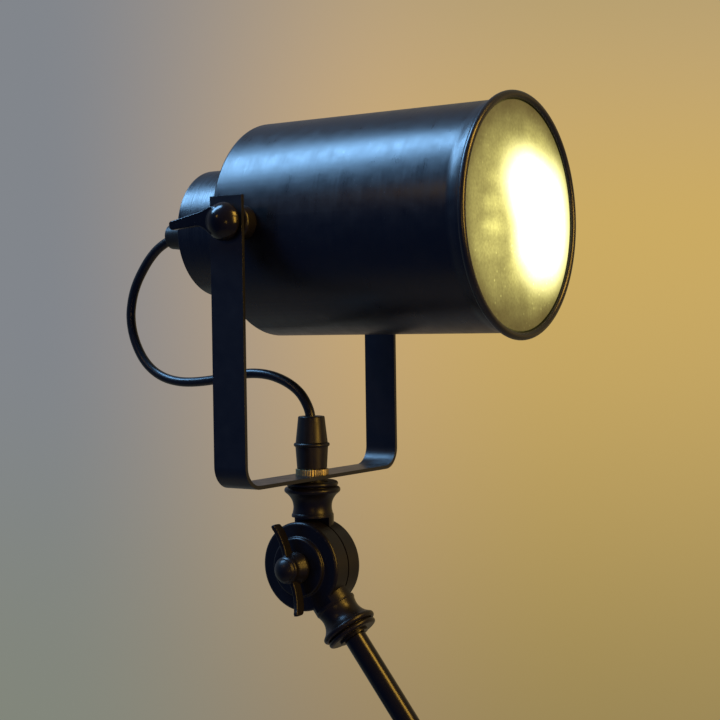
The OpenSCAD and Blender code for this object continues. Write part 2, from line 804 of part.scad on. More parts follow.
// Silicone ring behind the glass, on the flare of the shade
module glass_seal() {
    back = glass_front - glass_t - seal_t;
    flare_at = min(1, max(0, (back - flare_from) / flare_l));
    outer = min(shade_r - shade_wall + flare_step * flare_at, glass_r) - 0.1;
    color(moulded_black)
    at_head() turned_x() translate([outer - seal_w, back]) square([seal_w, seal_t]);
}

// Porcelain lamp holder on the nipple
module lamp_holder() {
    shoulder = 10;
    pocket_r = holder_thread_r + 0.7;
    color(porcelain)
    at_head() turned_x() difference() {
        union() {
            translate([0, holder_back]) square([holder_r - 4, holder_l]);
            translate([0, holder_back + shoulder]) square([holder_r, holder_l - shoulder - 3]);
            translate([0, holder_front - 4]) square([holder_r - 1.5, 4]);
        }
        translate([0, bulb_base - 5]) square([pocket_r, holder_l]);
        translate([0, holder_back - past]) square([thread_r + fit, 6 + 2 * past]);
    }
}

// Threaded metal sleeve inside the holder
module holder_shell() {
    color(brass)
    at_head() turned_x() translate([holder_thread_r, bulb_base - 3])
        square([0.6, holder_front - bulb_base]);
}

// Screw cap of the bulb: a thin shell with round ribs for its thread and a contact button at its end
module bulb_cap() {
    rib = 1.2;
    rib_pitch = 3.6;
    button_r = 5;
    button_h = 3;
    color(plated)
    at_head() turned_x() {
        difference() {
            union() {
                translate([0, bulb_base]) square([bulb_cap_r, bulb_base_l]);
                for (i = [0:5]) translate([bulb_cap_r, bulb_base + 4 + i * rib_pitch]) circle(rib);
            }
            translate([0, bulb_base + bulb_cap_wall]) square([bulb_cap_r - bulb_cap_wall, bulb_base_l]);
        }
        translate([0, bulb_base - button_h]) square([button_r, button_h + fit]);
    }
}

// Outline of the pear-shaped bulb, set in by a wall and run on past its open foot
module bulb_outline(wall, past_foot) {
    foot = bulb_base + bulb_base_l;
    r = bulb_r - wall;
    foot_r = bulb_cap_r + 0.4 - wall;
    centre = foot + bulb_l - bulb_r;
    lean = 50;
    intersection() {
        translate([0, centre]) circle(r);
        translate([0, foot]) square([r, bulb_l]);
    }
    polygon(concat([[0, foot - past_foot], [foot_r, foot - past_foot]],
        curve([foot_r, foot + 8], [foot_r + 2, foot + 22], [r * cos(lean), centre - r * sin(lean)], 6),
        [[0, centre]]));
}

module bulb_glass() {
    color(frosted)
    at_head() turned_x() difference() {
        bulb_outline(0, 0);
        bulb_outline(bulb_wall, past);
    }
}

// Tilt pivots

module pivot_spacers() {
    body = spacer_l * 0.7;
    soft = 2;
    color(satin_black)
    at_head() for (s = [-1, 1]) rotate([-90 * s, 0, 0]) translate([0, 0, shade_r + fit]) difference() {
        rotate_extrude() {
            square([spacer_r, body - soft]);
            square([spacer_r - soft, body]);
            translate([spacer_r - soft, body - soft]) circle(soft);
            square([spacer_r * 0.6, spacer_l]);
        }
        translate([0, 0, -past]) cylinder(r = pin_r + run, h = spacer_l + 2 * past);
    }
}

// Hexagon weld nuts inside the shade
module pivot_nuts() {
    color(plated)
    at_head() for (s = [-1, 1]) rotate([-90 * s, 0, 0])
        translate([0, 0, weld_nut_out - weld_nut_t]) difference() {
            cylinder(r = weld_nut_r, h = weld_nut_t, $fn = 6);
            translate([0, 0, -past]) cylinder(r = pin_r + run, h = weld_nut_t + 2 * past);
        }
}

// Threaded studs from the weld nuts out through the legs into the levers
module pivot_studs() {
    color(plated)
    at_head() for (s = [-1, 1]) rotate([-90 * s, 0, 0])
        translate([0, 0, stud_from]) cylinder(r = pin_r, h = stud_to - stud_from);
}

module lever_washers() {
    color(plated)
    at_head() for (s = [-1, 1]) rotate([-90 * s, 0, 0]) translate([0, 0, leg_out]) difference() {
        cylinder(r = lever_washer_r, h = lever_washer_t);
        translate([0, 0, -past]) cylinder(r = pin_r + run, h = lever_washer_t + 2 * past);
    }
}

// Clamp nut with a domed hub and one flat lever that narrows to its tip, pointing out along +Y of the head
module clamp_lever() {
    top = lever_hub_r - 2.7;
    low = top - lever_w;
    root = low - 2.4;
    arm_z = 2;
    tip_r = 1.4;
    dome_r = lever_hub_r + 0.45;
    color(satin_black)
    at_head() rotate([90, 0, 180]) rotate([0, 0, -lever_droop]) translate([0, 0, lever_seat]) difference() {
        union() {
            rotate_extrude() intersection() {
                square([lever_hub_r, lever_hub_h]);
                translate([0, lever_hub_h - dome_r]) circle(dome_r);
            }
            translate([0, 0, arm_z]) linear_extrude(lever_t)
                polygon(concat([[0, top]], curve([3, lever_hub_r - 1.6], [6.5, top + 0.3], [11, top], 6),
                    [for (a = [75:-15:-75]) [lever_l - tip_r + tip_r * cos(a),
                        (a > 0 ? top - tip_r : low + tip_r) + tip_r * sin(a)]],
                    [[lever_l - tip_r, low]],
                    curve([13, root + 0.5], [9.5, root - 0.3], [5.5, -lever_hub_r * 0.6], 6), [[0, low]]));
        }
        translate([0, 0, -past]) cylinder(r = pin_r + run, h = past + stud_to - lever_seat + slide);
    }
}

module right_lever() clamp_lever();
module left_lever() translate(pivot_c) mirror([1, 0, 0]) translate(-pivot_c) clamp_lever();

wall_bracket();
terminal_block();
canopy();
canopy_studs();
canopy_cap_nuts();
base_nipple();
base_lock_nut();
base_joint_fixed();
base_joint_moving();
base_washer();
base_bolt();
base_wing_nut();
lower_tube();
elbow_joint_lower();
elbow_joint_upper();
elbow_washer();
elbow_bolt();
elbow_wing_nut();
upper_tube();
head_joint_lower();
head_joint_upper();
head_washer();
head_bolt();
head_wing_nut();
head_nipple();
yoke();
yoke_ring_nut();
yoke_grip_base();
yoke_grip_cap();
head_cord();
shade_grip_cap();
shade_grip_base();
shade_ring_nut();
shade_nipple();
holder_nut();
rear_cap();
cap_screws();
shade_shell();
glass_seal();
glass();
lamp_holder();
holder_shell();
bulb_cap();
bulb_glass();
pivot_spacers();
pivot_nuts();
pivot_studs();
lever_washers();
left_lever();
right_lever();
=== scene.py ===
"""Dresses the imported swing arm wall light: finishes, softened edges, the cord, lights and a camera."""

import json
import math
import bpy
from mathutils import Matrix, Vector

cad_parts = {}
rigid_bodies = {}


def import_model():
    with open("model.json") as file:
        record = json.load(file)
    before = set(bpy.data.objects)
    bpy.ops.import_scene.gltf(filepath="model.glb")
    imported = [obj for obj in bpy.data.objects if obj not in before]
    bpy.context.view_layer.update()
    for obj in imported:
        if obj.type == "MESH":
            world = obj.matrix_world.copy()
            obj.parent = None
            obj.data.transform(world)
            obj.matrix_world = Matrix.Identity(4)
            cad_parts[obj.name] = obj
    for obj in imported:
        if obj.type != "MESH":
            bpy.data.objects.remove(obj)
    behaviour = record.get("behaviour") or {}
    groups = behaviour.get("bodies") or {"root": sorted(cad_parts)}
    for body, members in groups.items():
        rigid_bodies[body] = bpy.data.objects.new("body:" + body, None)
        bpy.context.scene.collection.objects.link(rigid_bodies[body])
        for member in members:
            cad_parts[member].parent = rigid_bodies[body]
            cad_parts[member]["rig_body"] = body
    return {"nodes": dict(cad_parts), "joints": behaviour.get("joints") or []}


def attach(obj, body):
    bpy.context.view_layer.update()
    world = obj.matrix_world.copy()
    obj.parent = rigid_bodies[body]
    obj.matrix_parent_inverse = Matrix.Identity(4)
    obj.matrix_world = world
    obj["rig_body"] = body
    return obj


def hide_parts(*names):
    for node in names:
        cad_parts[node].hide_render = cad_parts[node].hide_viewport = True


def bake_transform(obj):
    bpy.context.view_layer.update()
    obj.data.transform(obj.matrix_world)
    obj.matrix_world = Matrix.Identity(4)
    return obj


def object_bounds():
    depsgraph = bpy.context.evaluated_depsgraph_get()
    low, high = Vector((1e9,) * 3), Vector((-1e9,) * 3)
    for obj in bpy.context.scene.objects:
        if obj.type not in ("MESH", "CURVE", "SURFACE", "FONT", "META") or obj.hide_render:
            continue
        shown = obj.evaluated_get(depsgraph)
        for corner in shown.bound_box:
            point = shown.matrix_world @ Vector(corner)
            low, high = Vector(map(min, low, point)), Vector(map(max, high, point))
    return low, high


bl_info = {
    "name": "Swing Arm Wall Light",
    "version": (1, 0, 0),
    "blender": (4, 5, 0),
    "location": "3D View > Sidebar > Wall Light",
    "description": "Dresses the packed swing arm wall light and sets its stage",
    "category": "Object",
}

import bmesh
import bpy
from mathutils import Matrix, Vector

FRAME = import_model()
CAD_LOW, CAD_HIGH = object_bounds()

NODES = FRAME["nodes"]
PIVOT = next(Vector(joint["pos_m"]) for joint in FRAME["joints"] if joint["name"] == "shade_tilt")
MM = 0.001

# Cord route from part.scad, [forward, up] in millimetres from the tilt pivot
CORD_ROUTE = (
    (0, -110.1), (-0.6, -101.2), (-1.8, -97.2), (-4, -92.9), (-7.5, -88.6), (-12.6, -84.8),
    (-18.8, -81.8), (-25.8, -79.6), (-33, -78.5), (-41.5, -78.3), (-51.5, -79.4), (-61.5, -81.2),
    (-71.5, -82.6), (-81.5, -83.4), (-92, -83.3), (-103, -81.2), (-113, -76.3), (-121, -68.3),
    (-126.7, -57), (-128.7, -45), (-126.8, -33.8), (-123.3, -25.6), (-118.3, -18.1),
    (-112.8, -11.6), (-105.6, -5.8), (-96.2, -1.6), (-86.8, 0),
)

# Sockets of a Mix node's two colours and of the mixed colour
COLOUR_A, COLOUR_B, COLOUR_MIX = 6, 7, 2
# Range that most of a noise texture's values lie in
NOISE_LOW, NOISE_HIGH = 0.25, 0.75
# Bands of a wave texture for each unit of its scale
WAVE_BANDS = 20 / math.tau
# Stretch that draws a pattern out into rings about the shade's axis
RINGS = (0.006, 1, 0.006)
# Corners of a CAD mesh that lie closer are one, and faces that meet at less are one flat face
JOIN_MM = 0.002
FLAT_ANGLE = math.radians(0.4)
# Edges steeper than the first are rounded, and edges steeper than the second stay sharp in the shading
ROUNDED_ANGLE = math.radians(28)
SHARP_ANGLE = math.radians(40)


# Colour and node helpers

def linear(code):
    """Linear RGB of an sRGB hex value."""
    channels = [int(code[i:i + 2], 16) / 255 for i in (1, 3, 5)]
    return tuple(c / 12.92 if c <= 0.04045 else ((c + 0.055) / 1.055) ** 2.4 for c in channels)


def rgba(colour, gain=1.0):
    """Four channels of a linear colour, made lighter or darker by the gain."""
    return (*(c * gain for c in colour[:3]), 1.0)


def per(size_mm):
    """Texture scale, per metre, of a pattern whose features are that many millimetres apart."""
    return 1 / (size_mm * MM)


def put(tree, kind, inputs=None, **settings):
    """Adds a node with its settings, and links or sets its inputs."""
    node = tree.nodes.new(kind)
    for name, value in settings.items():
        setattr(node, name, value)
    for name, value in (inputs or {}).items():
        socket = node.inputs[name]
        if isinstance(value, bpy.types.NodeSocket):
            tree.links.new(value, socket)
        else:
            socket.default_value = value
    return node


def blank(name):
    """Empty material of the name, as (material, tree, object coordinates)."""
    material = bpy.data.materials.new(name)
    material.use_nodes = True
    tree = material.node_tree
    tree.nodes.clear()
    return material, tree, put(tree, "ShaderNodeTexCoord").outputs["Object"]


def surface(tree, **inputs):
    """Ends a material in a Principled shader with these inputs, named with underscores."""
    named = {name.replace("_", " "): value for name, value in inputs.items()}
    shader = put(tree, "ShaderNodeBsdfPrincipled", named)
    put(tree, "ShaderNodeOutputMaterial", {"Surface": shader.outputs["BSDF"]})


# Patterns that several finishes share

def uneven(tree, place, size_mm, low, high, stretch=(1, 1, 1)):
    """Patchy value from low to high, in patches of that size that the stretch draws out."""
    drawn = put(tree, "ShaderNodeMapping", {"Vector": place, "Scale": stretch}).outputs["Vector"]
    cloud = put(tree, "ShaderNodeTexNoise", {"Vector": drawn, "Scale": per(size_mm), "Detail": 3.0})
    span = {"Value": cloud.outputs["Fac"], "From Min": NOISE_LOW, "From Max": NOISE_HIGH,
            "To Min": low, "To Max": high}
    return put(tree, "ShaderNodeMapRange", span).outputs["Result"]


def shaded(tree, place, size_mm, colour, gain):
    """Colour that drifts to a lighter or darker tone of itself in patches of that size."""
    tones = {"Factor": uneven(tree, place, size_mm, 0, 1),
             COLOUR_A: rgba(colour), COLOUR_B: rgba(colour, gain)}
    return put(tree, "ShaderNodeMix", tones, data_type="RGBA").outputs[COLOUR_MIX]


def specks(tree, place, apart_mm, radius_mm, share):
    """Share of sparse dust, in specks of that spacing and radius and in drifting patches."""
    cells = put(tree, "ShaderNodeTexVoronoi", {"Vector": place, "Scale": per(apart_mm)})
    edge = radius_mm / apart_mm
    span = {"Value": cells.outputs["Distance"], "From Min": edge * 0.4, "From Max": edge,
            "To Min": share, "To Max": 0}
    dots = put(tree, "ShaderNodeMapRange", span).outputs["Result"]
    drift = uneven(tree, place, 30, -0.6, 1)
    some = put(tree, "ShaderNodeMath", {0: dots, 1: drift}, operation="MULTIPLY", use_clamp=True)
    return some.outputs["Value"]


def dusted(tree, place, colour, dust):
    """Colour under fine specks of dust."""
    tones = {"Factor": specks(tree, place, 3, 0.36, 0.5), COLOUR_A: colour, COLOUR_B: rgba(dust)}
    return put(tree, "ShaderNodeMix", tones, data_type="RGBA").outputs[COLOUR_MIX]


def grained(tree, place, *layers):
    """Normal of a surface with layers of relief, each its size, its depth and maybe a stretch."""
    normal = None
    for size_mm, depth_mm, *stretch in layers:
        inputs = {"Height": uneven(tree, place, size_mm, 0, 1, *stretch), "Distance": depth_mm * MM}
        if normal is not None:
            inputs["Normal"] = normal
        normal = put(tree, "ShaderNodeBump", inputs).outputs["Normal"]
    return normal


# Finishes

def powder_coat(name, colour, roughness, peel_mm, ring=0.0):
    """Baked polyester powder coat on sheet, spun or turned metal.

    It gives a satin sheen over fine orange peel. On a spun or turned piece the tool's rings show through.
    """
    material, tree, place = blank(name)
    sheen = uneven(tree, place, 7, roughness - 0.05, roughness + 0.05)
    # Real peel is about 0.4 mm across; it is drawn at 0.8 mm so that it shows in the render
    layers = [(0.8, peel_mm)]
    if ring:
        fine = uneven(tree, place, 0.6, -0.08 * ring, 0.08 * ring, RINGS)
        sheen = put(tree, "ShaderNodeMath", {0: sheen, 1: fine}, operation="ADD").outputs["Value"]
        layers += [(0.6, 0.012 * ring, RINGS), (3, 0.03 * ring, RINGS)]
    tone = dusted(tree, place, shaded(tree, place, 14, colour, 1.4), linear("#55555a"))
    surface(tree, Base_Color=tone, Roughness=sheen, IOR=1.5, Specular_IOR_Level=0.4,
            Normal=grained(tree, place, *layers))
    return material


def cast_coat(name, colour, roughness):
    """Coat on die-cast zinc, satin or gloss: it keeps a shallow cast ripple and gathers a little dust."""
    material, tree, place = blank(name)
    tone = dusted(tree, place, shaded(tree, place, 9, colour, 1.5), linear("#565049"))
    surface(tree, Base_Color=tone, IOR=1.5, Specular_IOR_Level=0.22,
            Roughness=uneven(tree, place, 5, roughness - 0.04, roughness + 0.04),
            Normal=grained(tree, place, (0.9, 0.005), (5, 0.016)))
    return material


def gloss_enamel(name, colour):
    """Stoved gloss enamel on drawn steel tube: a hard, clear sheen with faint waves."""
    material, tree, place = blank(name)
    surface(tree, Base_Color=shaded(tree, place, 12, colour, 1.4), IOR=1.52, Specular_IOR_Level=0.25,
            Roughness=uneven(tree, place, 6, 0.24, 0.28),
            Normal=grained(tree, place, (25, 0.003)))
    return material


def moulded_nylon(name, colour):
    """Injection moulded nylon from a spark-eroded mould: matte, with a low sheen."""
    material, tree, place = blank(name)
    # The mould's grain is about 0.15 mm; it is drawn at 0.45 mm so that it shows
    surface(tree, Base_Color=shaded(tree, place, 6, colour, 1.35), IOR=1.53, Specular_IOR_Level=0.3,
            Roughness=uneven(tree, place, 3, 0.34, 0.45),
            Normal=grained(tree, place, (0.45, 0.012)))
    return material


def zinc_plate(name, colour, roughness):
    """Zinc plate on turned steel, bright or passivated yellow: metal under a dull, patchy film."""
    material, tree, place = blank(name)
    surface(tree, Base_Color=shaded(tree, place, 5, colour, 0.7), Metallic=1.0,
            Roughness=uneven(tree, place, 2.2, roughness - 0.08, roughness + 0.08),
            Normal=grained(tree, place, (0.5, 0.006)))
    return material


def plain_brass(name, colour):
    """Drawn brass left plain: yellow metal, tarnished in patches."""
    material, tree, place = blank(name)
    surface(tree, Base_Color=shaded(tree, place, 6, colour, 0.6), Metallic=1.0,
            Roughness=uneven(tree, place, 3, 0.25, 0.42))
    return material


def pvc_sheath(name, colour):
    """Extruded PVC cord sheath: smooth and slightly wavy, with a soft sheen."""
    material, tree, place = blank(name)
    surface(tree, Base_Color=shaded(tree, place, 8, colour, 1.5), IOR=1.53, Specular_IOR_Level=0.3,
            Roughness=uneven(tree, place, 4, 0.26, 0.38),
            Normal=grained(tree, place, (3.5, 0.03), (0.6, 0.006)))
    return material


def plain_solid(name, colour, roughness, grain_mm, ior):
    """Pressed or moulded solid in one colour, such as silicone, fibre or porcelain, with its grain."""
    material, tree, place = blank(name)
    surface(tree, Base_Color=shaded(tree, place, grain_mm * 4, colour, 0.8), IOR=ior,
            Roughness=uneven(tree, place, grain_mm * 2, roughness - 0.05, roughness + 0.05),
            Normal=grained(tree, place, (grain_mm, 0.01)))
    return material


def etched_glass(name, look):
    """Acid-etched glass with the bulb lit behind it.

    The bulb's light is painted onto the glass as emission. A painted glare sits right of the middle,
    where the lit inner wall would show through, and the skin around it glows olive and dims towards
    the edge, with painted shade at the rim. Painted reflections of the reflector's ribbing show beside
    the glare as soft bands.
    """
    material, tree, place = blank(name)

    def block(centre_mm, half_mm, near, far, power=3):
        """One inside a rounded block on the glass, falling to zero between two multiples of its half size.

        A power of 2 makes it an ellipse, and a higher one squarer.
        """
        spot = PIVOT + Vector((centre_mm[0], 0, centre_mm[1])) * MM
        scale = (per(half_mm[0]), 0, per(half_mm[1]))
        steps = (("SUBTRACT", spot), ("MULTIPLY", scale), ("ABSOLUTE", (0, 0, 0)), ("POWER", (power,) * 3))
        share = place
        for operation, other in steps:
            step = put(tree, "ShaderNodeVectorMath", {0: share, 1: other}, operation=operation)
            share = step.outputs["Vector"]
        total = put(tree, "ShaderNodeVectorMath", {0: share, 1: (1, 1, 1)}, operation="DOT_PRODUCT")
        size = put(tree, "ShaderNodeMath", {0: total.outputs["Value"], 1: 1 / power}, operation="POWER")
        span = {"Value": size.outputs["Value"], "From Min": near, "From Max": far, "To Min": 1, "To Max": 0}
        return put(tree, "ShaderNodeMapRange", span, interpolation_type="SMOOTHERSTEP").outputs["Result"]

    side = look.glare_side / MM
    # Painted glare right of the middle, with a painted halo round it
    core = block((side, -2), (27, 28), 0.3, 1.6, 2.5)
    upper = block((5, 17), (26, 20), 0.1, 1.4, 2)
    halo = block((side, 0), (38, 36), 0.6, 1.5)
    skin = block((4, 1), (72, 47), 0.2, 1.3)
    # Patch beside the glare where the painted reflections of the reflector's ribbing show
    rib_reflection_patch = block((-30, 2), (14, 26), 0.2, 1.2)
    # Middle of the glass; outside it painted shade darkens the glow towards the rim
    inner = block((0, 0), (56, 56), 0.82, 1.02, 2)
    glare = put(tree, "ShaderNodeMath", {0: upper, 1: 0.6, 2: core}, operation="MULTIPLY_ADD",
                use_clamp=True).outputs["Value"]
    # Painted reflections of the reflector's ribbing, 12 mm apart
    wave = {"Vector": place, "Scale": per(12) / WAVE_BANDS, "Distortion": 0.0}
    bands = put(tree, "ShaderNodeTexWave", wave, bands_direction="Z", wave_profile="SIN").outputs["Fac"]
    rib_reflections = put(tree, "ShaderNodeMath", {0: bands, 1: rib_reflection_patch}, operation="MULTIPLY").outputs["Value"]
    # Strength of the glow at the edge, and what each part adds to it
    lit = 0.125
    for part, strength in ((skin, 0.37), (halo, 0.3), (rib_reflections, 0.26)):
        more = put(tree, "ShaderNodeMath", {0: part, 1: strength, 2: lit}, operation="MULTIPLY_ADD")
        lit = more.outputs["Value"]
    # Painted shade at the rim halves the glow there
    rim_shade = put(tree, "ShaderNodeMath", {0: inner, 1: 0.5, 2: 0.5}, operation="MULTIPLY_ADD")
    smear = uneven(tree, place, 14, 0.62, 1.25)
    grain = uneven(tree, place, 1.6, 0.78, 1.2)
    dust = specks(tree, place, 4, 0.8, 1.6)
    film = put(tree, "ShaderNodeMath", {0: smear, 1: grain, 2: dust}, operation="MULTIPLY_ADD")
    for part in (rim_shade, film):
        glow = put(tree, "ShaderNodeMath", {0: lit, 1: part.outputs["Value"]}, operation="MULTIPLY")
        lit = glow.outputs["Value"]
    power = put(tree, "ShaderNodeMath", {0: glare, 1: look.glare_power, 2: lit}, operation="MULTIPLY_ADD")
    tones = {"Factor": glare, COLOUR_A: rgba(look.glow), COLOUR_B: rgba(look.glare)}
    hue = put(tree, "ShaderNodeMix", tones, data_type="RGBA")
    surface(tree, Base_Color=shaded(tree, place, 16, linear("#34332a"), 0.8), IOR=1.52,
            Roughness=uneven(tree, place, 8, 0.26, 0.36), Normal=grained(tree, place, (0.9, 0.01)),
            Emission_Color=hue.outputs[COLOUR_MIX], Emission_Strength=power.outputs["Value"])
    return material


# Mesh helpers

def own_mesh(node):
    """Copy of a CAD node's mesh with its split corners joined and its flat faces made whole."""
    work = bmesh.new()
    work.from_mesh(NODES[node].data)
    bmesh.ops.remove_doubles(work, verts=work.verts, dist=JOIN_MM * MM)
    bmesh.ops.dissolve_limit(work, angle_limit=FLAT_ANGLE, verts=work.verts, edges=work.edges,
                             use_dissolve_boundaries=False)
    return work


def made(name, work):
    """Object from a bmesh, smooth except across sharp edges."""
    mesh = bpy.data.meshes.new(name)
    work.to_mesh(mesh)
    work.free()
    mesh.shade_smooth()
    mesh.set_sharp_from_angle(angle=SHARP_ANGLE)
    piece = bpy.data.objects.new(name, mesh)
    bpy.context.scene.collection.objects.link(piece)
    return piece


def stand_for(piece, node, material):
    """Gives a piece its finish and puts it in the place of its CAD node."""
    piece.data.materials.clear()
    piece.data.materials.append(material)
    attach(piece, NODES[node]["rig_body"])
    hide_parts(node)


def eased(node, material, round_mm):
    """Makes a piece with the node's shape and its sharp edges rounded."""
    work = own_mesh(node)
    edges = [e for e in work.edges if len(e.link_faces) == 2 and e.calc_face_angle() > ROUNDED_ANGLE]
    bmesh.ops.bevel(work, geom=edges, offset=round_mm * MM, offset_type="OFFSET", segments=2, profile=0.5,
                    affect="EDGES", clamp_overlap=True, loop_slide=True)
    piece = made(node + "_finished", work)
    # Wide faces lead the shading, so that a long wall shows no streaks beside a small edge
    even = piece.modifiers.new("even", "WEIGHTED_NORMAL")
    even.weight = 100
    even.keep_sharp = True
    stand_for(piece, node, material)


def cast(node, material, grid):
    """Makes a piece with the node's shape, remeshed and relaxed as a casting's corners are."""
    piece = made(node + "_finished", own_mesh(node))
    block = piece.modifiers.new("grid", "REMESH")
    block.mode = "VOXEL"
    block.voxel_size = grid
    relax = piece.modifiers.new("relax", "SMOOTH")
    relax.factor = 0.5
    relax.iterations = 4
    shaped = piece.evaluated_get(bpy.context.evaluated_depsgraph_get())
    mesh = bpy.data.meshes.new_from_object(shaped)
    piece.modifiers.clear()
    piece.data = mesh
    mesh.shade_smooth()
    stand_for(piece, node, material)


def paint(node, material):
    """Gives a CAD node that stays as it is its finish."""
    NODES[node].data.materials.clear()
    NODES[node].data.materials.append(material)


def finish(name):
    """Material of the name, made on first use from the scene's settings."""
    if name in bpy.data.materials:
        return bpy.data.materials[name]
    f = bpy.context.scene.wall_light_finish
    recipes = {
        "satin_coat_on_sheet": (powder_coat, f.coat, 0.36, 0.007),
        "satin_coat_on_spun_shade": (powder_coat, f.coat, 0.32, 0.003, 0.35),
        "satin_coat_on_turned_cap": (powder_coat, f.coat, 0.32, 0.003, 1.2),
        "satin_coat_on_casting": (cast_coat, f.casting, 0.34),
        "gloss_coat_on_casting": (cast_coat, f.casting, 0.19),
        "gloss_enamel_on_tube": (gloss_enamel, f.enamel),
        "black_moulded_nylon": (moulded_nylon, f.nylon),
        "white_moulded_nylon": (moulded_nylon, linear("#dedbd2")),
        "bright_zinc_plate": (zinc_plate, f.plate, 0.28),
        "yellow_zinc_plate": (zinc_plate, f.yellow_plate, 0.45),
        "plain_drawn_brass": (plain_brass, linear("#b6924a")),
        "extruded_pvc_sheath": (pvc_sheath, f.sheath),
        "silicone_seal": (plain_solid, linear("#1b1b1c"), 0.5, 0.8, 1.41),
        "vulcanised_fibre": (plain_solid, linear("#583826"), 0.6, 0.7, 1.5),
        "glazed_porcelain": (plain_solid, linear("#e8e4da"), 0.14, 2.0, 1.5),
        "opal_bulb_glass": (plain_solid, linear("#f4f0e2"), 0.16, 3.0, 1.5),
        "acid_etched_glass": (etched_glass, f),
    }
    make, *values = recipes[name]
    return make(name, *values)


def dress(pieces):
    """Makes or paints each (node, finish, edge radius in millimetres or None to keep the node)."""
    for node, name, round_mm in pieces:
        if round_mm is None:
            paint(node, finish(name))
        else:
            eased(node, finish(name), round_mm)


# Settings

def colour_setting(name, description, code):
    """Colour property that starts from an sRGB hex value."""
    return bpy.props.FloatVectorProperty(name=name, description=description, default=linear(code),
                                         subtype="COLOR", size=3, min=0, max=1)


def length_setting(name, description, metres, **limits):
    """Length property in metres."""
    return bpy.props.FloatProperty(name=name, description=description, default=metres, unit="LENGTH",
                                   subtype="DISTANCE", **limits)


def angle_setting(name, description, degrees):
    """Angle property that starts from degrees."""
    return bpy.props.FloatProperty(name=name, description=description, default=math.radians(degrees),
                                   subtype="ANGLE", unit="ROTATION")


def power_setting(name, description, watts):
    """Power property in watts."""
    return bpy.props.FloatProperty(name=name, description=description, default=watts, unit="POWER", min=0)


class FinishSettings(bpy.types.PropertyGroup):
    """Colours of the finishes, the glass's light and the castings' grid."""

    coat: colour_setting("Powder coat", "Satin black of the shade, yoke and canopy", "#0b0c11")
    casting: colour_setting("Casting coat", "Black of the swivels, wing nuts and levers", "#0c0b0e")
    enamel: colour_setting("Tube enamel", "Gloss black of the arm tubes", "#090807")
    nylon: colour_setting("Cord grips", "Black of the moulded cord grips", "#0d0b08")
    plate: colour_setting("Zinc plate", "Plated fixings", "#c8c2b2")
    yellow_plate: colour_setting("Yellow plate", "Plated ring nuts of the cord grips", "#a59a76")
    sheath: colour_setting("Cord", "Black of the cord's sheath", "#0c0c0d")
    # The glass's glow is painted on as emission in place of the bulb's light, and its glare is a painted
    # highlight
    glow: colour_setting("Glass glow", "Colour of the lit glass around the glare", "#fff78e")
    glare: colour_setting("Glass glare", "Colour of the brightest part of the glass", "#fffbe0")
    glare_power: bpy.props.FloatProperty(name="Glare power", description="Strength of the glass's glare",
                                         default=3, min=0, soft_max=8)
    glare_side: length_setting("Glare place", "How far the glare sits to the right", 0.024)
    casting_grid: length_setting("Casting grid", "Grid that castings are softened on", 0.0004, min=0.0002)


class CordSettings(bpy.types.PropertyGroup):
    """Size of the cord between the grips."""

    diameter: length_setting("Diameter", "Diameter of the cord", 0.0054)
    sides: bpy.props.IntProperty(name="Sides", description="Sides of the cord's mesh", default=20, min=8)
    points: bpy.props.IntProperty(name="Points", description="Points along the cord", default=44, min=20)


class StageSettings(bpy.types.PropertyGroup):
    """Camera, lights, floor and backdrop."""

    lens: bpy.props.FloatProperty(name="Lens", description="Focal length of the camera", default=72.842,
                                  subtype="DISTANCE_CAMERA", unit="CAMERA")
    offset: bpy.props.FloatVectorProperty(name="Camera place", subtype="TRANSLATION", unit="LENGTH",
                                          description="Camera's place from the tilt pivot",
                                          default=(-0.64237, -0.45426, -0.05377))
    azimuth: angle_setting("Azimuth", "Camera's turn about the upright", 33.319)
    elevation: angle_setting("Elevation", "Camera's angle above the level", 1.272)
    roll: angle_setting("Roll", "Camera's turn about its own line of sight", -0.809)
    cool_wall: colour_setting("Cool backdrop", "Backdrop on the left, in daylight", "#82868c")
    warm_wall: colour_setting("Warm backdrop", "Backdrop on the right, in the lamp's light", "#cbab63")
    dusk_wall: colour_setting("Dusk backdrop", "Backdrop low on the right, in less light", "#94825d")
    floor: colour_setting("Floor", "Pale floor below the lamp", "#ccc8c0")
    room: colour_setting("Room", "Dim room before the wall, which the coat reflects", "#2f4678")
    key: colour_setting("Daylight", "Colour of the large soft light", "#8fc8ff")
    fill: colour_setting("Lamp light", "Colour of the warm lights", "#ffc650")
    key_power: power_setting("Daylight power", "Power of the large soft light", 16)
    fill_power: power_setting("Lamp light power", "Power of the light from the right", 9)
    ceiling_power: power_setting("Ceiling light power", "Power of the light overhead", 10)
    room_power: power_setting("Room light power", "Power of each small light in the room", 0.55)
    floor_drop: length_setting("Floor drop", "How far the floor lies below the lamp", 1.2)
    floor_radius: length_setting("Floor radius", "Radius of the round floor", 1.5)


# Operators

class PieceOperator:
    """Options that every operator here shares."""

    bl_options = {"REGISTER", "UNDO"}


